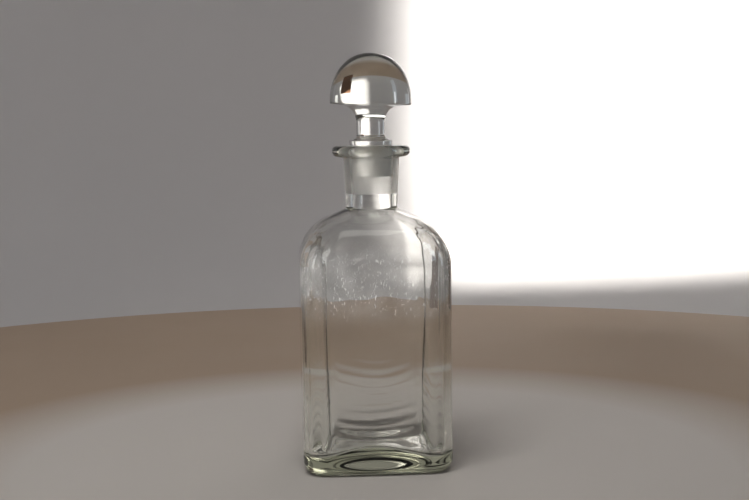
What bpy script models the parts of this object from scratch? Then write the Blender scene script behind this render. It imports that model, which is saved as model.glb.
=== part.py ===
"""A square glass bottle with a ground-in mushroom stopper, in metres, +Z up, standing on Z = 0.

The front face looks along -Y. There are two pieces: the bottle, blown in a square mould with a
pushed-up base and a ground neck, and the solid pressed stopper whose taper plug sits in that neck.
"""

import math

import bmesh
import bpy
from mathutils import Matrix, Vector

# Bottle, outside
BODY_SIDE = 0.087  # across the flats
CORNER_RADIUS = 0.0140
HEEL_RADIUS = 0.0075
SHOULDER_RADIUS = 0.0295
SHOULDER_SLOPE = math.radians(23.0)  # of the shoulder where it meets the neck
NECK_ROOT_RADIUS = 0.0149
NECK_ROOT_HEIGHT = 0.150
NECK_TOP_RADIUS = 0.0165
NECK_ROOT_FILLET = 0.002
LIP_RADIUS = 0.0228
LIP_UNDERSIDE = 0.1792
LIP_TOP = 0.1863
LIP_CANT = 0.0012  # how far the lip's underside rises from the neck to its edge
LIP_LOWER_FILLET = 0.0032
LIP_UPPER_FILLET = 0.0026

# Bottle, inside
WALL_AT_FLOOR = 0.0042
WALL_AT_SHOULDER = 0.0030
INNER_CORNER_RADIUS = 0.0175
BORE_RADIUS = 0.0115
BORE_ROOT_HEIGHT = 0.1493
BORE_ROOT_FILLET = 0.003
SOCKET_BOTTOM = 0.1590
SOCKET_BOTTOM_RADIUS = 0.0112
SOCKET_TOP_RADIUS = 0.0128

# Base
PUSH_UP_RADIUS = 0.032  # the hollow under the base is half an ellipsoid
PUSH_UP_HEIGHT = 0.006
FLOOR_HEIGHT = 0.005  # in its corners
FLOOR_FILLET = 0.008
FLOOR_DOME = 0.003  # how far the middle stands above the corners
FLOOR_DOME_RADIUS = 0.049
RIDGE = 0.0082  # the glass lies thicker behind the middle of the front wall
RIDGE_PLACE = (-0.003, -0.034)
RIDGE_SPREAD = 0.020
LIFT_TOP = 0.030  # the dome and the ridge fade out up the walls by this height

# Stopper
SEAT_GAP = 0.0003  # between plug and socket
PLUG_BOTTOM = 0.1685
PLUG_TOP = 0.1894
STEM_RADIUS = 0.0083
STEM_FILLET = 0.0032
HEAD_UNDERSIDE = 0.2083  # at the flare; the underside rises from there to the rim
RIM_HEIGHT = 0.2102
HEAD_FLARE = 0.0095
HEAD_RADIUS = 0.0238
HEAD_FULLNESS = 2.19  # 2 would make the dome an exact half ellipse
TOTAL_HEIGHT = 0.240
HEAD_LEAN = math.radians(1.9)  # the head is pressed slightly crooked on its plug

# Small rounding of edges, on both pieces
SMALL_ROUND = 0.0010
EDGE_ROUND = 0.0005

# Cross-sections and outlines
BODY_SIDE_TURN = math.radians(4.0)  # the nearly flat sides bulge by half a millimetre
ROUND_SIDE_TURN = math.radians(30.0)  # a circle's four sides turn this far, its corners the rest
SIDE_STEPS = 4
CORNER_STEPS = 8
STOPPER_STEPS = 40
DOME_STEPS = 10
PUSH_UP_STEPS = 6
FLOOR_STEPS = 6
BODY_MIDDLE = 0.060  # the body's rings narrow as its heel does below this, and as its shoulder above
ARC_SAG = 0.00008  # how far a chord of an outline's arc may stand inside it
SMALL_FILLET = 0.002  # fillets under this take no more steps than one of this size


def mix(a, b, share):
    return a + (b - a) * share


def rounded(corners):
    """The outline (r, z) through corners (r, z, fillet), with an arc of that radius at each."""
    points = []
    for i, (r, z, fillet) in enumerate(corners):
        corner = Vector((r, z))
        if not fillet:
            points.append(corner)
            continue
        back = (Vector(corners[i - 1][:2]) - corner).normalized()
        ahead = (Vector(corners[i + 1][:2]) - corner).normalized()
        half = back.angle(ahead) / 2
        centre = corner + (back + ahead).normalized() * fillet / math.sin(half)
        arm = corner + back * fillet / math.tan(half) - centre
        turn = math.copysign(math.pi - 2 * half, arm.y * back.x - arm.x * back.y)
        step = 2 * math.acos(1 - ARC_SAG / max(fillet, SMALL_FILLET))
        steps = max(2, math.ceil(abs(turn) / step))
        for k in range(steps + 1):
            points.append(centre + Matrix.Rotation(turn * k / steps, 2) @ arm)
    return points


def ring(half_width, corner_radius, side_turn, height):
    """A level ring of four side arcs and four corner arcs, each tangent to the next."""
    half = side_turn / 2
    lead = math.cos(half) - math.sin(half)
    side_radius = (half_width - corner_radius * lead) / (1 - lead)
    side_centre = Vector((half_width - side_radius, 0.0))
    corner_centre = Vector((1.0, 1.0)) * (side_radius - corner_radius) * math.sin(half)
    arcs = (
        (side_centre, side_radius, -half, half, SIDE_STEPS),
        (corner_centre, corner_radius, half, math.pi / 2 - half, CORNER_STEPS),
    )
    points = []
    for quarter in range(4):
        turned = Matrix.Rotation(quarter * math.pi / 2, 2)
        for centre, radius, start, end, steps in arcs:
            for k in range(steps):
                angle = mix(start, end, k / steps)
                arm = Vector((math.cos(angle), math.sin(angle)))
                points.append((turned @ (centre + radius * arm)).to_3d() + Vector((0, 0, height)))
    return points


def body_ring(half_width, height, skin):
    """A ring of one of the body's skins: square at the wall, round at the neck."""
    wall, neck, corner = skin
    if height < BODY_MIDDLE:
        return ring(half_width, corner - (wall - half_width), BODY_SIDE_TURN, height)
    share = max(0.0, min(1.0, (half_width - neck) / (wall - neck)))
    corner = min(half_width, mix(neck, corner, share))
    return ring(half_width, corner, mix(ROUND_SIDE_TURN, BODY_SIDE_TURN, share), height)


def round_ring(radius, height):
    return ring(radius, radius, ROUND_SIDE_TURN, height)


def push_up_rings():
    """Rings of the hollow under the base, from near its top down to its round rim."""
    rings = []
    for k in range(1, PUSH_UP_STEPS + 1):
        angle = math.pi / 2 * k / PUSH_UP_STEPS
        rings.append(round_ring(PUSH_UP_RADIUS * math.sin(angle), PUSH_UP_HEIGHT * math.cos(angle)))
    return rings


def floor_rings(half_width, corner):
    """Level rings of the floor, from its square rim in to near its middle."""
    rings = []
    for k in range(FLOOR_STEPS, 0, -1):
        out = k / FLOOR_STEPS
        turn = mix(ROUND_SIDE_TURN, BODY_SIDE_TURN, out)
        rings.append(ring(half_width * out, mix(half_width, corner, out) * out, turn, FLOOR_HEIGHT))
    return rings


def lifted(point):
    """A point of the inner skin, raised onto the floor's dome and ridge."""
    place = Vector(point)
    out = place.xy.length / FLOOR_DOME_RADIUS
    from_ridge = (place.xy - Vector(RIDGE_PLACE)).length / RIDGE_SPREAD
    lift = FLOOR_DOME * max(0.0, 1 - out**4) + RIDGE * math.exp(-(from_ridge**2) / 2)
    fade = max(0.0, (LIFT_TOP - place.z) / (LIFT_TOP - FLOOR_HEIGHT))
    place.z += lift * fade**1.5
    return place


def loft(rings, first_tip, last_tip):
    """A closed skin through the rings, with a fan to a point at each end."""
    bm = bmesh.new()
    rows = [[bm.verts.new(point) for point in points] for points in rings]
    count = len(rows[0])
    for k in range(count):
        after = (k + 1) % count
        for row, next_row in zip(rows, rows[1:]):
            bm.faces.new((row[k], row[after], next_row[after], next_row[k]))
    for row, tip in ((rows[0], first_tip), (rows[-1], last_tip)):
        middle = bm.verts.new(tip)
        for k in range(count):
            bm.faces.new((row[k], row[(k + 1) % count], middle))
    bmesh.ops.recalc_face_normals(bm, faces=bm.faces)
    return bm


def shoulder_corner(wall, neck_radius, neck_height):
    """The height at which the shoulder's upper slope, run on, reaches the line of the wall."""
    return neck_height - (wall - neck_radius) * math.tan(SHOULDER_SLOPE)


def bottle_rings():
    """Every ring of the bottle: under the base, up the outside, over the lip and down the inside."""
    side = BODY_SIDE / 2
    outside = rounded(
        [
            (side - HEEL_RADIUS, 0.0, 0),
            (side, 0.0, HEEL_RADIUS),
            (side, shoulder_corner(side, NECK_ROOT_RADIUS, NECK_ROOT_HEIGHT), SHOULDER_RADIUS),
            (NECK_ROOT_RADIUS, NECK_ROOT_HEIGHT, NECK_ROOT_FILLET),
            (NECK_TOP_RADIUS, LIP_UNDERSIDE, SMALL_ROUND),
            (LIP_RADIUS, LIP_UNDERSIDE + LIP_CANT, LIP_LOWER_FILLET),
            (LIP_RADIUS, LIP_TOP, LIP_UPPER_FILLET),
            (SOCKET_TOP_RADIUS, LIP_TOP, EDGE_ROUND),
            (SOCKET_BOTTOM_RADIUS, SOCKET_BOTTOM, 0),
        ]
    )
    room = side - WALL_AT_SHOULDER
    low_room = side - WALL_AT_FLOOR
    bend = SHOULDER_RADIUS - WALL_AT_SHOULDER
    inside = rounded(
        [
            (SOCKET_BOTTOM_RADIUS, SOCKET_BOTTOM, 0),
            (BORE_RADIUS, BORE_ROOT_HEIGHT, BORE_ROOT_FILLET),
            (room, shoulder_corner(room, BORE_RADIUS, BORE_ROOT_HEIGHT), bend),
            (low_room, FLOOR_HEIGHT, FLOOR_FILLET),
            (low_room - FLOOR_FILLET, FLOOR_HEIGHT, 0),
        ]
    )
    outer_skin = (side, NECK_ROOT_RADIUS, CORNER_RADIUS)
    inner_skin = (low_room, BORE_RADIUS, INNER_CORNER_RADIUS)
    rings = push_up_rings()
    for radius, height in outside:
        above = height > NECK_ROOT_HEIGHT
        rings.append(round_ring(radius, height) if above else body_ring(radius, height, outer_skin))
    skin = [body_ring(radius, height, inner_skin) for radius, height in inside[1:-1]]
    skin += floor_rings(low_room - FLOOR_FILLET, INNER_CORNER_RADIUS - FLOOR_FILLET)
    return rings + [[lifted(point) for point in points] for points in skin]


def make_bottle():
    return loft(bottle_rings(), (0.0, 0.0, PUSH_UP_HEIGHT), lifted((0.0, 0.0, FLOOR_HEIGHT)))


def plug_radius(height):
    """The plug follows the socket's taper, and runs on above the lip as a collar."""
    up = (height - SOCKET_BOTTOM) / (LIP_TOP - SOCKET_BOTTOM)
    return mix(SOCKET_BOTTOM_RADIUS, SOCKET_TOP_RADIUS, up) - SEAT_GAP


def dome_outline():
    """The head from its rim to just under its top."""
    points = []
    for k in range(DOME_STEPS):
        angle = math.pi / 2 * k / DOME_STEPS
        out = math.cos(angle) ** (2 / HEAD_FULLNESS)
        up = math.sin(angle) ** (2 / HEAD_FULLNESS)
        height = mix(RIM_HEIGHT + EDGE_ROUND, TOTAL_HEIGHT, up)
        points.append(Vector((HEAD_RADIUS * out, height)))
    return points


def lean_head(bm):
    """Tips the head about the middle of its underside, easing in over the flare of the stem."""
    pivot = Vector((0.0, 0.0, HEAD_UNDERSIDE))
    for vert in bm.verts:
        share = 1 + (vert.co.z - HEAD_UNDERSIDE) / HEAD_FLARE
        share = max(0.0, min(1.0, share))
        vert.co = pivot + Matrix.Rotation(HEAD_LEAN * share, 3, "Y") @ (vert.co - pivot)


def make_stopper():
    outline = rounded(
        [
            (plug_radius(PLUG_BOTTOM) / 2, PLUG_BOTTOM, 0),
            (plug_radius(PLUG_BOTTOM), PLUG_BOTTOM, SMALL_ROUND),
            (plug_radius(PLUG_TOP), PLUG_TOP, SMALL_ROUND),
            (STEM_RADIUS, PLUG_TOP, STEM_FILLET),
            (STEM_RADIUS, HEAD_UNDERSIDE, HEAD_FLARE),
            (HEAD_RADIUS - EDGE_ROUND, RIM_HEIGHT, 0),
        ]
    )
    rings = []
    for radius, height in outline + dome_outline():
        turns = [2 * math.pi * k / STOPPER_STEPS for k in range(STOPPER_STEPS)]
        rings.append([(radius * math.cos(a), radius * math.sin(a), height) for a in turns])
    bm = loft(rings, (0.0, 0.0, PLUG_BOTTOM), (0.0, 0.0, TOTAL_HEIGHT))
    lean_head(bm)
    return bm


def glass(name, colour, roughness):
    material = bpy.data.materials.new(name)
    material.use_nodes = True
    shader = material.node_tree.nodes["Principled BSDF"]
    shader.inputs["Base Color"].default_value = (*colour, 1.0)
    shader.inputs["Roughness"].default_value = roughness
    shader.inputs["Metallic"].default_value = 0.0
    shader.inputs["IOR"].default_value = 1.52
    shader.inputs["Transmission Weight"].default_value = 1.0
    return material


def add_piece(name, bm, material):
    mesh = bpy.data.meshes.new(name)
    bm.to_mesh(mesh)
    bm.free()
    mesh.shade_smooth()
    mesh.set_sharp_from_angle(angle=math.radians(40))
    mesh.materials.append(material)
    piece = bpy.data.objects.new(name, mesh)
    bpy.context.scene.collection.objects.link(piece)
    return piece


def main():
    for old in list(bpy.data.objects):
        bpy.data.objects.remove(old)
    add_piece("bottle", make_bottle(), glass("bottle_glass", (0.90, 0.93, 0.91), 0.03))
    add_piece("stopper", make_stopper(), glass("stopper_glass", (0.95, 0.96, 0.95), 0.03))


main()
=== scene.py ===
"""Looks of the square glass bottle and its mushroom stopper.

Both pieces are turned or lofted again at a fine step, in the place and size of their CAD solids,
with the uneven inner skin, ripples and ground zones of real moulded glass.
"""

import math

import bmesh
import bpy
from mathutils import Matrix, Vector, noise


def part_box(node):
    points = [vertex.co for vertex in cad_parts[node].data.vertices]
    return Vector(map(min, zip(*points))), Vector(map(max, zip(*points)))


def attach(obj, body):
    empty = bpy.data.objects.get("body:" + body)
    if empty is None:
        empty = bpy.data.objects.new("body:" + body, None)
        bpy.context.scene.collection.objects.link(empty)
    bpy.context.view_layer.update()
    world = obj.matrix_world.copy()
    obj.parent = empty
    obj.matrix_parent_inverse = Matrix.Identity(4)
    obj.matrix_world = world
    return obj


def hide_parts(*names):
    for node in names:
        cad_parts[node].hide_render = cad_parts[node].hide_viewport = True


# The frame gives the overall sizes; the rest of each outline is worked out from them.
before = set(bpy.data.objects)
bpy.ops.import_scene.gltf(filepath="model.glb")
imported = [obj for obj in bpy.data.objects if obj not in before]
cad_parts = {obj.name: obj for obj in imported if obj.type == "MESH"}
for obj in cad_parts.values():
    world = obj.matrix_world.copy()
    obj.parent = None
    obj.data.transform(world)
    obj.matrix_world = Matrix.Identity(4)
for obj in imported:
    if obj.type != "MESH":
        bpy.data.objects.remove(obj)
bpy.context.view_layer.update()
bottle_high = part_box("bottle")[1]
stopper_low, stopper_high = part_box("stopper")

# Bottle, outside
SIDE = bottle_high.x  # half the distance across the flats
LIP_TOP = bottle_high.z
CORNER_RADIUS = 0.0140
HEEL_RADIUS = 0.0075
SHOULDER_RADIUS = 0.0295
SHOULDER_SLOPE = math.radians(23.0)
NECK_ROOT_RADIUS = 0.0149
NECK_ROOT_HEIGHT = 0.150
NECK_TOP_RADIUS = 0.0165
NECK_ROOT_FILLET = 0.002
LIP_RADIUS = 0.0228
LIP_UNDERSIDE = 0.1792
LIP_CANT = 0.0012
LIP_LOWER_FILLET = 0.0032
LIP_UPPER_FILLET = 0.0026

# Bottle, inside
WALL_AT_FLOOR = 0.0042
WALL_AT_SHOULDER = 0.0030
INNER_CORNER_RADIUS = 0.0175
FLOOR_HEIGHT = 0.005
FLOOR_DOME = 0.003
FLOOR_DOME_RADIUS = 0.049
RIDGE = 0.0082
RIDGE_PLACE = (-0.003, -0.034)
RIDGE_SPREAD = 0.020
LIFT_TOP = 0.030  # the dome and the ridge fade out up the walls by this height
FLOOR_FILLET = 0.008
BORE_RADIUS = 0.0115
BORE_ROOT_HEIGHT = 0.1493
BORE_ROOT_FILLET = 0.003
SOCKET_BOTTOM = 0.1590
SOCKET_BOTTOM_RADIUS = 0.0112
SOCKET_TOP_RADIUS = 0.0128

# Base
PUSH_UP_RADIUS = 0.032
PUSH_UP_HEIGHT = 0.006

# Stopper
PLUG_BOTTOM = stopper_low.z
TOTAL_HEIGHT = stopper_high.z
SEAT_GAP = 0.0003
PLUG_TOP = 0.1894
STEM_RADIUS = 0.0083
STEM_FILLET = 0.0032
HEAD_UNDERSIDE = 0.2083
RIM_HEIGHT = 0.2102
HEAD_FLARE = 0.0095
HEAD_RADIUS = 0.0238
HEAD_FULLNESS = 2.19
HEAD_LEAN = math.radians(1.9)

# Unevenness of the blown glass. A pair of waves is how far the skin moves and how many features a metre has;
# a pair of heights is where something starts and where it is full, or where it starts to fade and is gone.
OUTER_WAVES = (0.00003, 60)
BROAD_WAVES = (0.00022, 28)
SMALL_WAVES = (0.00008, 70)
STREAKS = (0.00045, 130)  # upright, in the corners of the inner skin
FINE_STREAKS = (0.00024, 330)
STREAK_STRETCH = 20  # times taller than wide
STREAK_ZONE = (0.018, 0.030)  # from the body's middle planes to where the streaks start and are full
FLAT_SHARE = 0.7  # of the waves on the flats that the corners lack
OUTER_START = (0.012, 0.030)
INNER_START = (0.0, 0.020)
INNER_END = (0.135, NECK_ROOT_HEIGHT)
RIPPLES = 0.00016  # low waves of the inner skin, one above the other, near the floor
RIPPLE_SPACING = 0.0068
RIPPLE_SAG = 8  # how fast the crests bend up towards the sides
RIPPLE_WANDER = (0.003, 25)
RIPPLE_START = (0.010, 0.022)
RIPPLE_END = (0.035, 0.062)

# Small rounding of edges, on both pieces
SMALL_ROUND = 0.0010
EDGE_ROUND = 0.0005

# Cross-sections and outlines
BODY_MIDDLE = 0.060  # the body's rings narrow as its heel does below this, and as its shoulder above
BODY_SIDE_TURN = math.radians(4.0)
ROUND_SIDE_TURN = math.radians(30.0)
SIDE_STEPS = 20
CORNER_STEPS = 28
STOPPER_STEPS = 160
DOME_STEPS = 60
DISH_STEPS = 24
ARC_SAG = 0.000012
LONGEST_STEP = 0.0015

# Studio
STUDIO_RADIUS = 1.15
STUDIO_SWEEP = 0.51
STUDIO_HEIGHT = 1.5
STUDIO_STEPS = 96
SWEEP_STEPS = 16
STRIP_DISTANCE = 0.95
FLAG_DISTANCE = 0.53
WALL_COLOUR = (0.40, 0.385, 0.38)
NEAR_FLOOR = (0.48, 0.445, 0.41)
FAR_FLOOR = (0.30, 0.225, 0.165)
FLOOR_CHANGE = (0.21, 0.30)  # from the bottle to where the floor starts and ends its change of colour
WARM_FLAG = (0.10, 0.045, 0.02)
# painted shade: a dark card in front of the bottle, which only the glass sees, stands in for the shaded room
# that the glass reflects
SHADE_FLAG_COLOUR = (0.03, 0.028, 0.025)
UPRIGHT_FLAGS = (  # name, bearings in degrees to the right of straight behind, heights, colour
    ("warm_flag", 23, 38, 0.004, 0.155, WARM_FLAG),
    # painted shade, seen only in the glass
    ("painted_shade_flag", 128, 232, 0.10, 1.0, SHADE_FLAG_COLOUR),
)
# painted light: a patch of floor under the bottle glows, though it is no lamp, in place of the light that
# the glass passes down
PAINTED_BASE_LIGHT = (0.21, 0.20, 0.18)  # of the floor under the bottle, for the light that its glass passes down
PAINTED_BASE_LIGHT_HEIGHT = 0.0001
WARM = (1.0, 0.98, 0.94)
WHITE = (0.98, 0.99, 1.0)
COOL = (0.72, 0.86, 1.0)
OVERHEAD_GLOW = 2.3
FILL_GLOW = 8.0
WASH_GLOW = 8.0
WASH_SPREAD = math.radians(25)
SUN_GLOW = 80.0
STRIPS = (  # name, bearing in degrees, width, height, glow, colour
    ("strip_front_left", -122, 0.14, 0.8, 5.0, WHITE),
    ("strip_front_right", 110, 0.22, 0.8, 3.0, COOL),
    ("strip_left", -22, 0.02, 0.35, 0.8, WHITE),
    ("strip_right", 48, 0.12, 0.35, 0.9, WARM),
    ("panel_left", -50, 0.22, 0.45, 0.25, COOL),
)
WORLD_COLOUR = (0.86, 0.87, 0.90)
WORLD_STRENGTH = 0.06

# Glass
GLASS_IOR = 1.52
GROUND_BUMP = 0.6
GROUND_ROUGHNESS = (0.34, 0.54)
GRAIN_SCALE = 2600.0
TURNING_SCALE = (40.0, 40.0, 1300.0)  # the ground zones' fine level lines
HANDLED_ROUGHNESS = 0.035
HANDLED_SCALE = 45.0
DUST_SCALE = 90.0
WORN_START = (0.085, 0.104)  # the heights between which the marks grow dense, up from the lower walls
WORN_END = (0.122, 0.136)  # and those between which they fade below the neck
WORN_BELOW = 0.06  # share of the marks that the lower walls have
CLEAR_BASE = (0.030, 0.040)  # no marks below the first height, and all of that share above the second
MARK_EDGE = (0.12, 0.26)  # in cells, from a mark's middle to where it fades
CLOUDED = 0.2  # how much light the densest mark passes
DUST = (0.35, 0.75, 0.04, 0.20)  # from this noise to that, this much to that much of the light is clouded
SCRATCHES = (  # turn about the Y axis, marks per metre along each axis, share of the marks left out
    (0.0, (1150.0, 1150.0, 1150.0), 0.87),
    (0.5, (1900.0, 1900.0, 220.0), 0.89),
    (-0.35, (2000.0, 2000.0, 280.0), 0.90),
    (1.3, (1900.0, 1900.0, 250.0), 0.92),
)
BOTTLE_TINT = (0.75, 0.78, 0.60)
BOTTLE_DENSITY = 20.0
STOPPER_TINT = (0.80, 0.85, 0.75)
STOPPER_DENSITY = 8.0

# Camera, as fitted to the view
LENS = 66.8
CAMERA_DISTANCE = 0.813
CAMERA_HEIGHT = 0.2091
CAMERA_AZIMUTH = math.radians(-3.56)
CAMERA_PITCH = math.radians(5.91)
CAMERA_ROLL = math.radians(-0.81)
CAMERA_YAW = math.radians(0.086)


def mix(a, b, share):
    return a + (b - a) * share


def eased(value, start, end):
    """0 before start, 1 after end, smooth between."""
    share = max(0.0, min(1.0, (value - start) / (end - start)))
    return share * share * (3 - 2 * share)


# ---------------------------------------------------------------- outlines


def rounded(corners):
    """The outline (r, z) through corners (r, z, fillet), with an arc of that radius at each."""
    points = []
    for i, (r, z, fillet) in enumerate(corners):
        corner = Vector((r, z))
        if not fillet:
            points.append(corner)
            continue
        back = (Vector(corners[i - 1][:2]) - corner).normalized()
        ahead = (Vector(corners[i + 1][:2]) - corner).normalized()
        half = back.angle(ahead) / 2
        centre = corner + (back + ahead).normalized() * fillet / math.sin(half)
        arm = corner + back * fillet / math.tan(half) - centre
        turn = math.copysign(math.pi - 2 * half, arm.y * back.x - arm.x * back.y)
        steps = max(4, math.ceil(abs(turn) / (2 * math.acos(1 - ARC_SAG / fillet))))
        for k in range(steps + 1):
            points.append(centre + Matrix.Rotation(turn * k / steps, 2) @ arm)
    return points


def divided(points):
    """The outline with its long straight runs cut into short steps."""
    fine = [points[0]]
    for start, end in zip(points, points[1:]):
        steps = max(1, math.ceil((end - start).length / LONGEST_STEP))
        fine += [start.lerp(end, k / steps) for k in range(1, steps + 1)]
    return fine


def ring(half_width, corner_radius, side_turn, height):
    """A level ring of four side arcs and four corner arcs, each tangent to the next."""
    half = side_turn / 2
    lead = math.cos(half) - math.sin(half)
    side_radius = (half_width - corner_radius * lead) / (1 - lead)
    side_centre = Vector((half_width - side_radius, 0.0))
    corner_centre = Vector((1.0, 1.0)) * (side_radius - corner_radius) * math.sin(half)
    arcs = (
        (side_centre, side_radius, -half, half, SIDE_STEPS),
        (corner_centre, corner_radius, half, math.pi / 2 - half, CORNER_STEPS),
    )
    points = []
    for quarter in range(4):
        turned = Matrix.Rotation(quarter * math.pi / 2, 2)
        for centre, radius, start, end, steps in arcs:
            for k in range(steps):
                angle = mix(start, end, k / steps)
                arm = Vector((math.cos(angle), math.sin(angle)))
                points.append((turned @ (centre + radius * arm)).to_3d() + Vector((0, 0, height)))
    return points


def body_ring(half_width, height, skin):
    """A ring of one of the body's skins: square at the wall, round at the neck."""
    wall, neck, corner = skin
    if height < BODY_MIDDLE:
        return ring(half_width, corner - (wall - half_width), BODY_SIDE_TURN, height)
    share = max(0.0, min(1.0, (half_width - neck) / (wall - neck)))
    corner = min(half_width, mix(neck, corner, share))
    return ring(half_width, corner, mix(ROUND_SIDE_TURN, BODY_SIDE_TURN, share), height)


def round_ring(radius, height):
    return ring(radius, radius, ROUND_SIDE_TURN, height)


def push_up_rings():
    """Rings of the hollow under the base, from near its top down to its round rim."""
    rings = []
    for k in range(1, DISH_STEPS + 1):
        angle = math.pi / 2 * k / DISH_STEPS
        rings.append(round_ring(PUSH_UP_RADIUS * math.sin(angle), PUSH_UP_HEIGHT * math.cos(angle)))
    return rings


def floor_rings(half_width, corner):
    """Rings of the flat floor, from its square rim in to near its middle."""
    rings = []
    for k in range(DISH_STEPS, 0, -1):
        out = k / DISH_STEPS
        turn = mix(ROUND_SIDE_TURN, BODY_SIDE_TURN, out)
        rings.append(ring(half_width * out, mix(half_width, corner, out) * out, turn, FLOOR_HEIGHT))
    return rings


def floor_lift(place):
    """How far the floor's dome and ridge raise the inner skin here."""
    out = place.xy.length / FLOOR_DOME_RADIUS
    from_ridge = (place.xy - Vector(RIDGE_PLACE)).length / RIDGE_SPREAD
    lift = FLOOR_DOME * max(0.0, 1 - out**4) + RIDGE * math.exp(-(from_ridge**2) / 2)
    fade = max(0.0, (LIFT_TOP - place.z) / (LIFT_TOP - FLOOR_HEIGHT))
    return lift * fade**1.5


def shoulder_corner(wall, neck_radius, neck_height):
    return neck_height - (wall - neck_radius) * math.tan(SHOULDER_SLOPE)


# ---------------------------------------------------------------- meshes


def loft(rings, zones, first_tip, last_tip):
    """A closed skin through the rings. zones holds each ring's (inside, ground), kept on its points."""
    bm = bmesh.new()
    inside = bm.verts.layers.float.new("inside")
    ground = bm.verts.layers.float.new("ground")
    rows = []
    for points, zone in zip(rings, zones):
        row = [bm.verts.new(point) for point in points]
        for vert in row:
            vert[inside], vert[ground] = zone
        rows.append(row)
    count = len(rows[0])
    for k in range(count):
        after = (k + 1) % count
        for row, next_row in zip(rows, rows[1:]):
            bm.faces.new((row[k], row[after], next_row[after], next_row[k]))
    for row, tip, zone in ((rows[0], first_tip, zones[0]), (rows[-1], last_tip, zones[-1])):
        middle = bm.verts.new(tip)
        middle[inside], middle[ground] = zone
        for k in range(count):
            bm.faces.new((row[k], row[(k + 1) % count], middle))
    bmesh.ops.recalc_face_normals(bm, faces=bm.faces)
    bm.normal_update()
    return bm


def bottle_rings():
    """Every ring of the bottle, with its zone: under the base, up the outside and down the inside."""
    foot = SIDE - HEEL_RADIUS
    outside = rounded(
        [
            (foot, 0.0, 0),
            (SIDE, 0.0, HEEL_RADIUS),
            (SIDE, shoulder_corner(SIDE, NECK_ROOT_RADIUS, NECK_ROOT_HEIGHT), SHOULDER_RADIUS),
            (NECK_ROOT_RADIUS, NECK_ROOT_HEIGHT, NECK_ROOT_FILLET),
            (NECK_TOP_RADIUS, LIP_UNDERSIDE, SMALL_ROUND),
            (LIP_RADIUS, LIP_UNDERSIDE + LIP_CANT, LIP_LOWER_FILLET),
            (LIP_RADIUS, LIP_TOP, LIP_UPPER_FILLET),
            (SOCKET_TOP_RADIUS, LIP_TOP, EDGE_ROUND),
            (SOCKET_BOTTOM_RADIUS, SOCKET_BOTTOM, 0),
        ]
    )
    room = SIDE - WALL_AT_SHOULDER
    low_room = SIDE - WALL_AT_FLOOR
    bend = SHOULDER_RADIUS - WALL_AT_SHOULDER
    inside = rounded(
        [
            (SOCKET_BOTTOM_RADIUS, SOCKET_BOTTOM, 0),
            (BORE_RADIUS, BORE_ROOT_HEIGHT, BORE_ROOT_FILLET),
            (room, shoulder_corner(room, BORE_RADIUS, BORE_ROOT_HEIGHT), bend),
            (low_room, FLOOR_HEIGHT, FLOOR_FILLET),
            (low_room - FLOOR_FILLET, FLOOR_HEIGHT, 0),
        ]
    )
    outer_skin = (SIDE, NECK_ROOT_RADIUS, CORNER_RADIUS)
    inner_skin = (low_room, BORE_RADIUS, INNER_CORNER_RADIUS)
    rings = push_up_rings()
    zones = [(0.0, 0.0)] * len(rings)
    for radius, height in divided(outside):
        above = height > NECK_ROOT_HEIGHT
        rings.append(round_ring(radius, height) if above else body_ring(radius, height, outer_skin))
        in_socket = radius < SOCKET_TOP_RADIUS and above
        zones.append((float(in_socket), float(in_socket)))
    for radius, height in divided(inside)[1:-1]:
        rings.append(body_ring(radius, height, inner_skin))
        zones.append((1.0, 0.0))
    floor = floor_rings(low_room - FLOOR_FILLET, INNER_CORNER_RADIUS - FLOOR_FILLET)
    return rings + floor, zones + [(1.0, 0.0)] * len(floor)


def wavy(point, waves, seed):
    """Smooth unevenness at this point. waves gives its height and its features per metre."""
    height, scale = waves
    return height * noise.noise(point * scale + Vector((seed, 2 * seed, -seed)))


def dome_floor(bm):
    inside = bm.verts.layers.float["inside"]
    for vert in bm.verts:
        if vert[inside]:
            vert.co.z += floor_lift(vert.co)
    bm.normal_update()


def outer_unevenness(place):
    return wavy(place, OUTER_WAVES, 3.0) * eased(place.z, *OUTER_START)


def inner_unevenness(place):
    """Slow waves on the flats, upright streaks in the corners and level ripples near the floor."""
    in_corner = eased(min(abs(place.x), abs(place.y)), *STREAK_ZONE)
    upright = Vector((place.x, place.y, place.z / STREAK_STRETCH))
    waves = wavy(place, BROAD_WAVES, 1.0) + wavy(place, SMALL_WAVES, 5.0)
    streaks = wavy(upright, STREAKS, 4.0) + wavy(upright, FINE_STREAKS, 7.0)
    height = (1 - FLAT_SHARE * in_corner) * waves + in_corner * streaks
    height *= (1 - eased(place.z, *INNER_END)) * eased(place.z, *INNER_START)
    low_down = eased(place.z, *RIPPLE_START) * (1 - eased(place.z, *RIPPLE_END))
    crests = place.z - RIPPLE_SAG * place.x * place.x + wavy(place, RIPPLE_WANDER, 8.0)
    ripples = math.sin(crests * 2 * math.pi / RIPPLE_SPACING)
    return height + RIPPLES * low_down * (1 - in_corner) * ripples


def uneven_skins(bm):
    """Moves both skins in and out a little, as mould and breath left them, but not ground zones or lip."""
    inside = bm.verts.layers.float["inside"]
    ground = bm.verts.layers.float["ground"]
    moves = []
    for vert in bm.verts:
        if vert[ground]:
            continue
        if vert[inside]:
            height = inner_unevenness(vert.co)
        elif vert.co.z > LIP_UNDERSIDE:
            continue
        else:
            height = outer_unevenness(vert.co)
        moves.append((vert, vert.normal * height))
    for vert, move in moves:
        vert.co += move


def make_bottle():
    rings, zones = bottle_rings()
    under = (0.0, 0.0, PUSH_UP_HEIGHT)
    bm = loft(rings, zones, under, (0.0, 0.0, FLOOR_HEIGHT))
    dome_floor(bm)
    uneven_skins(bm)
    return bm


def plug_radius(height):
    up = (height - SOCKET_BOTTOM) / (LIP_TOP - SOCKET_BOTTOM)
    return mix(SOCKET_BOTTOM_RADIUS, SOCKET_TOP_RADIUS, up) - SEAT_GAP


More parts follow.
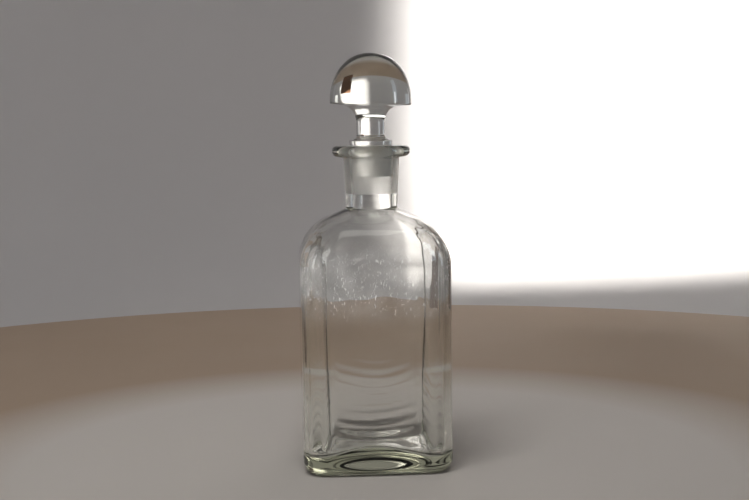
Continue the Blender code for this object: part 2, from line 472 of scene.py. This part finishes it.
def dome_outline():
    points = []
    for k in range(DOME_STEPS):
        angle = math.pi / 2 * k / DOME_STEPS
        out = math.cos(angle) ** (2 / HEAD_FULLNESS)
        up = math.sin(angle) ** (2 / HEAD_FULLNESS)
        height = mix(RIM_HEIGHT + EDGE_ROUND, TOTAL_HEIGHT, up)
        points.append(Vector((HEAD_RADIUS * out, height)))
    return points


def lean_head(bm):
    """Tips the head about the middle of its underside, easing in over the flare of the stem."""
    pivot = Vector((0.0, 0.0, HEAD_UNDERSIDE))
    for vert in bm.verts:
        share = 1 + (vert.co.z - HEAD_UNDERSIDE) / HEAD_FLARE
        share = max(0.0, min(1.0, share))
        vert.co = pivot + Matrix.Rotation(HEAD_LEAN * share, 3, "Y") @ (vert.co - pivot)


def make_stopper():
    outline = rounded(
        [
            (plug_radius(PLUG_BOTTOM) / 8, PLUG_BOTTOM, 0),
            (plug_radius(PLUG_BOTTOM), PLUG_BOTTOM, SMALL_ROUND),
            (plug_radius(PLUG_TOP), PLUG_TOP, SMALL_ROUND / 2),
            (STEM_RADIUS, PLUG_TOP, STEM_FILLET),
            (STEM_RADIUS, HEAD_UNDERSIDE, HEAD_FLARE),
            (HEAD_RADIUS - EDGE_ROUND, RIM_HEIGHT, 0),
        ]
    )
    turns = [2 * math.pi * k / STOPPER_STEPS for k in range(STOPPER_STEPS)]
    rings = []
    zones = []
    for radius, height in divided(outline + dome_outline()):
        rings.append([(radius * math.cos(a), radius * math.sin(a), height) for a in turns])
        on_taper = abs(radius - plug_radius(height)) < SEAT_GAP and height < LIP_TOP
        zones.append((0.0, float(on_taper)))
    bm = loft(rings, zones, (0.0, 0.0, PLUG_BOTTOM), (0.0, 0.0, TOTAL_HEIGHT))
    lean_head(bm)
    return bm


def add_piece(name, bm, material, body, node):
    mesh = bpy.data.meshes.new(name)
    bm.to_mesh(mesh)
    bm.free()
    mesh.shade_smooth()
    mesh.materials.append(material)
    piece = bpy.data.objects.new(name, mesh)
    bpy.context.scene.collection.objects.link(piece)
    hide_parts(node)
    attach(piece, body)
    return piece


# ---------------------------------------------------------------- materials


class Nodes:
    """Shorthand for building one material's node tree."""

    def __init__(self, name):
        self.material = bpy.data.materials.new(name)
        self.material.use_nodes = True
        self.tree = self.material.node_tree
        self.shader = self.tree.nodes["Principled BSDF"]
        self.out = self.tree.nodes["Material Output"]

    def add(self, kind, settings=None, **inputs):
        node = self.tree.nodes.new(kind)
        for key, value in (settings or {}).items():
            setattr(node, key, value)
        for key, value in inputs.items():
            self.join(value, node.inputs[key.replace("_", " ")])
        return node

    def join(self, value, socket):
        if isinstance(value, bpy.types.NodeSocket):
            self.tree.links.new(value, socket)
        else:
            socket.default_value = value

    def maths(self, operation, *values):
        node = self.tree.nodes.new("ShaderNodeMath")
        node.operation = operation
        for socket, value in zip(node.inputs, values):
            self.join(value, socket)
        return node.outputs[0]

    def attribute(self, name):
        return self.add("ShaderNodeAttribute", {"attribute_name": name}).outputs["Fac"]

    def clouds(self, place, scale, detail):
        return self.add("ShaderNodeTexNoise", Vector=place, Scale=scale, Detail=detail).outputs["Fac"]

    def mapped(self, place, scale, turn=0.0):
        """The place, turned about Y and scaled."""
        node = self.add("ShaderNodeMapping", Vector=place)
        node.inputs["Rotation"].default_value = (0.0, turn, 0.0)
        node.inputs["Scale"].default_value = scale
        return node.outputs[0]

    def ranged(self, value, low, high, to_low, to_high):
        node = self.tree.nodes.new("ShaderNodeMapRange")
        names = ("Value", "From Min", "From Max", "To Min", "To Max")
        for key, given in zip(names, (value, low, high, to_low, to_high)):
            self.join(given, node.inputs[key])
        return node.outputs[0]


def worn(n, place):
    """How clear the glass is: dust, specks and short scratches cloud the outside, most of all high up."""
    height = n.add("ShaderNodeSeparateXYZ", Vector=place).outputs["Z"]
    upper = n.maths(
        "MULTIPLY",
        n.ranged(height, *WORN_START, WORN_BELOW, 1.0),
        n.ranged(height, *WORN_END, 1.0, 0.0),
    )
    outer = n.maths("SUBTRACT", 1.0, n.attribute("inside"))
    zone = n.maths("MULTIPLY", upper, n.maths("MULTIPLY", outer, n.ranged(height, *CLEAR_BASE, 0.0, 1.0)))
    marks = n.ranged(n.clouds(place, DUST_SCALE, 6.0), *DUST)
    for turn, scale, rarity in SCRATCHES:
        cells = n.add("ShaderNodeTexVoronoi", Vector=n.mapped(place, scale, turn), Scale=1.0)
        chosen = n.add("ShaderNodeTexWhiteNoise", Vector=cells.outputs["Position"]).outputs["Value"]
        mark = n.ranged(cells.outputs["Distance"], *MARK_EDGE, 1.0, 0.0)
        marks = n.maths("ADD", n.maths("MULTIPLY", mark, n.maths("GREATER_THAN", chosen, rarity)), marks)
    return n.ranged(n.maths("MULTIPLY", marks, zone), 0.0, 1.0, 1.0, CLOUDED)


def ground_surface(n, place, ground):
    """The roughness of the ground zones, and their fine cut as a bump."""
    grain = n.clouds(place, GRAIN_SCALE, 2.0)
    rings = n.clouds(n.mapped(place, TURNING_SCALE), 1.0, 2.0)
    rough = n.maths("MULTIPLY", ground, n.ranged(n.maths("ADD", grain, rings), 0.6, 1.4, *GROUND_ROUGHNESS))
    cut = n.maths("ADD", n.maths("MULTIPLY", rings, 0.7), n.maths("MULTIPLY", grain, 0.3))
    cut = n.maths("MULTIPLY", ground, cut)
    bump = n.add("ShaderNodeBump", Height=cut, Strength=GROUND_BUMP, Distance=0.0002)
    return rough, bump.outputs[0]


def glass(name, tint, density, scratched):
    """Clear glass with ground zones, handling marks and a faint body colour, scratched or not."""
    n = Nodes(name)
    place = n.add("ShaderNodeTexCoord").outputs["Object"]
    rough, bump = ground_surface(n, place, n.attribute("ground"))
    handled = n.ranged(n.clouds(place, HANDLED_SCALE, 3.0), 0.52, 0.75, 0.0, HANDLED_ROUGHNESS)
    n.join(n.maths("ADD", rough, handled), n.shader.inputs["Roughness"])
    n.join(bump, n.shader.inputs["Normal"])
    n.shader.inputs["Transmission Weight"].default_value = 1.0
    if scratched:
        n.join(worn(n, place), n.shader.inputs["Transmission Weight"])
    n.shader.inputs["Base Color"].default_value = (1.0, 1.0, 1.0, 1.0)
    n.shader.inputs["IOR"].default_value = GLASS_IOR
    body = n.add("ShaderNodeVolumeAbsorption")
    body.inputs["Color"].default_value = (*tint, 1.0)
    body.inputs["Density"].default_value = density
    n.join(body.outputs[0], n.out.inputs["Volume"])
    return n.material


def matt(name, near, far):
    """Uneven matt paper, of one colour under the bottle and another further off."""
    n = Nodes(name)
    place = n.add("ShaderNodeTexCoord").outputs["Object"]
    n.join(n.ranged(n.clouds(place, 6.0, 4.0), 0.3, 0.7, 0.8, 0.95), n.shader.inputs["Roughness"])
    away = n.add("ShaderNodeVectorMath", {"operation": "LENGTH"})
    n.join(place, away.inputs[0])
    blend = n.add("ShaderNodeMix", {"data_type": "RGBA"})
    n.join(n.ranged(away.outputs["Value"], *FLOOR_CHANGE, 0.0, 1.0), blend.inputs["Factor"])
    near_colour, far_colour = [socket for socket in blend.inputs if socket.type == "RGBA"]
    near_colour.default_value = (*near, 1.0)
    far_colour.default_value = (*far, 1.0)
    blended = [socket for socket in blend.outputs if socket.type == "RGBA"]
    n.join(blended[0], n.shader.inputs["Base Color"])
    return n.material


def glowing(name, colour):
    n = Nodes(name)
    n.shader.inputs["Base Color"].default_value = (0.0, 0.0, 0.0, 1.0)
    n.shader.inputs["Emission Color"].default_value = (*colour, 1.0)
    n.shader.inputs["Emission Strength"].default_value = 1.0
    return n.material


# ---------------------------------------------------------------- studio


def add_stage(name, verts, faces, material):
    mesh = bpy.data.meshes.new(name)
    mesh.from_pydata(verts, [], faces)
    mesh.shade_smooth()
    mesh.materials.append(material)
    stage = bpy.data.objects.new(name, mesh)
    bpy.context.scene.collection.objects.link(stage)
    return stage


def add_studio():
    """A round floor that sweeps up into a wall all round, so that every view has the same backdrop."""
    line = [(STUDIO_RADIUS - STUDIO_SWEEP, 0.0)]
    for k in range(1, SWEEP_STEPS + 1):
        angle = math.pi / 2 * k / SWEEP_STEPS
        out = STUDIO_RADIUS - STUDIO_SWEEP * (1 - math.sin(angle))
        line.append((out, STUDIO_SWEEP * (1 - math.cos(angle))))
    line.append((STUDIO_RADIUS, STUDIO_HEIGHT))
    turns = [2 * math.pi * k / STUDIO_STEPS for k in range(STUDIO_STEPS)]
    verts = [(r * math.cos(a), r * math.sin(a), z) for r, z in line for a in turns]
    faces = []
    for row in range(len(line) - 1):
        start = row * STUDIO_STEPS
        for k in range(STUDIO_STEPS):
            after = (k + 1) % STUDIO_STEPS
            faces.append((start + k, start + after, start + STUDIO_STEPS + after, start + STUDIO_STEPS + k))
    add_stage("studio_wall", verts, faces, matt("wall_paper", WALL_COLOUR, WALL_COLOUR))
    floor = [verts[k] for k in range(STUDIO_STEPS)]
    whole = [tuple(range(STUDIO_STEPS))]
    add_stage("studio_floor", floor, whole, matt("floor_paper", NEAR_FLOOR, FAR_FLOOR))
    # painted light under the base: a glowing patch, no lamp, hidden under the bottle and seen through its
    # glass
    under = ring(SIDE - HEEL_RADIUS, CORNER_RADIUS, BODY_SIDE_TURN, PAINTED_BASE_LIGHT_HEIGHT)
    add_stage("painted_base_light", under, [tuple(range(len(under)))], glowing("painted_base_light", PAINTED_BASE_LIGHT))


def beside(bearing, distance, height):
    """A point that many degrees to the right of straight behind the bottle."""
    turn = math.radians(bearing)
    return (distance * math.sin(turn), distance * math.cos(turn), height)


def add_flag(name, corners, material):
    """A card that only the glass sees."""
    flag = add_stage(name, corners, [tuple(range(len(corners)))], material)
    for way in ("visible_camera", "visible_diffuse", "visible_shadow"):
        setattr(flag, way, False)


def add_flags():
    """Upright cards whose reflections and refractions draw the glass; the dark one in front paints shade
    into it.
    """
    for name, start, end, low, high, colour in UPRIGHT_FLAGS:
        corners = [beside(start, FLAG_DISTANCE, low), beside(end, FLAG_DISTANCE, low)]
        corners += [beside(end, FLAG_DISTANCE, high), beside(start, FLAG_DISTANCE, high)]
        add_flag(name, corners, matt(name, colour, colour))


def add_light(name, place, target, size, glow, colour, hidden=()):
    """A soft panel of the given radiance, unseen by the kinds of ray in hidden."""
    data = bpy.data.lights.new(name, "AREA")
    data.shape = "RECTANGLE"
    data.size, data.size_y = size
    data.energy = glow * math.pi * size[0] * size[1]
    data.color = colour
    light = bpy.data.objects.new(name, data)
    light.location = place
    light.rotation_euler = (Vector(target) - Vector(place)).to_track_quat("-Z", "Y").to_euler()
    for kind in hidden:
        setattr(light, "visible_" + kind, False)
    bpy.context.scene.collection.objects.link(light)
    return light


def add_strip(name, bearing, width, top, glow, colour):
    """A panel that stands on the floor, that many degrees to the right of straight behind the bottle."""
    place = beside(bearing, STRIP_DISTANCE, top / 2)
    add_light(name, place, (0, 0, top / 2), (width, top), glow, colour, ("camera", "diffuse"))


def add_lights(pieces):
    """A panel overhead, one that fills the wall, the bright patch at its right, and a sun for the pieces."""
    unseen = ("camera", "glossy", "transmission")
    hidden = ("camera", "glossy")
    add_light("overhead", (-0.1, -0.25, 1.05), (0, 0, 0), (0.5, 0.5), OVERHEAD_GLOW, WARM, hidden)
    add_light("fill", (-0.3, -0.5, 1.35), (-0.5, 1.0, 0.3), (0.8, 0.5), FILL_GLOW, WHITE, unseen)
    wash = add_light("wall_wash", (0.325, 0.60, 0.52), (0.385, 1.10, 0.27), (0.46, 0.80), WASH_GLOW, WARM)
    wash.data.spread = WASH_SPREAD
    sun = add_light("sun", (-0.75, -0.65, 0.55), (0, 0, 0.11), (0.25, 0.25), SUN_GLOW, WARM, unseen)
    glassware = bpy.data.collections.new("glassware")
    for piece in pieces:
        glassware.objects.link(piece)
    sun.light_linking.receiver_collection = glassware
    for strip in STRIPS:
        add_strip(*strip)


def add_world():
    world = bpy.data.worlds.new("studio_air")
    world.use_nodes = True
    background = world.node_tree.nodes["Background"]
    background.inputs["Color"].default_value = (*WORLD_COLOUR, 1.0)
    background.inputs["Strength"].default_value = WORLD_STRENGTH
    bpy.context.scene.world = world


def add_camera():
    data = bpy.data.cameras.new("camera")
    data.lens = LENS
    data.sensor_width = 36.0
    data.clip_start = 0.01
    camera = bpy.data.objects.new("camera", data)
    stand = Vector((math.sin(CAMERA_AZIMUTH), -math.cos(CAMERA_AZIMUTH), 0.0)) * CAMERA_DISTANCE
    stand.z = CAMERA_HEIGHT
    heading = Matrix.Rotation(CAMERA_AZIMUTH - CAMERA_YAW, 4, "Z")
    tilt = Matrix.Rotation(math.pi / 2 - CAMERA_PITCH, 4, "X")
    roll = Matrix.Rotation(CAMERA_ROLL, 4, "Z")
    camera.matrix_world = Matrix.Translation(stand) @ heading @ tilt @ roll
    bpy.context.scene.collection.objects.link(camera)
    bpy.context.scene.camera = camera


def main():
    bottle_glass = glass("bottle_glass", BOTTLE_TINT, BOTTLE_DENSITY, True)
    stopper_glass = glass("stopper_glass", STOPPER_TINT, STOPPER_DENSITY, False)
    bottle = add_piece("bottle_glass_body", make_bottle(), bottle_glass, "bottle", "bottle")
    stopper = add_piece(
        "stopper_glass_body", make_stopper(), stopper_glass, "stopper", "stopper"
    )
    add_studio()
    add_flags()
    add_lights((bottle, stopper))
    add_world()
    add_camera()
    scene = bpy.context.scene
    scene.view_settings.view_transform = "Standard"
    scene.cycles.max_bounces = 24
    scene.cycles.transmission_bounces = 24
    scene.cycles.sample_clamp_indirect = 8.0


main()
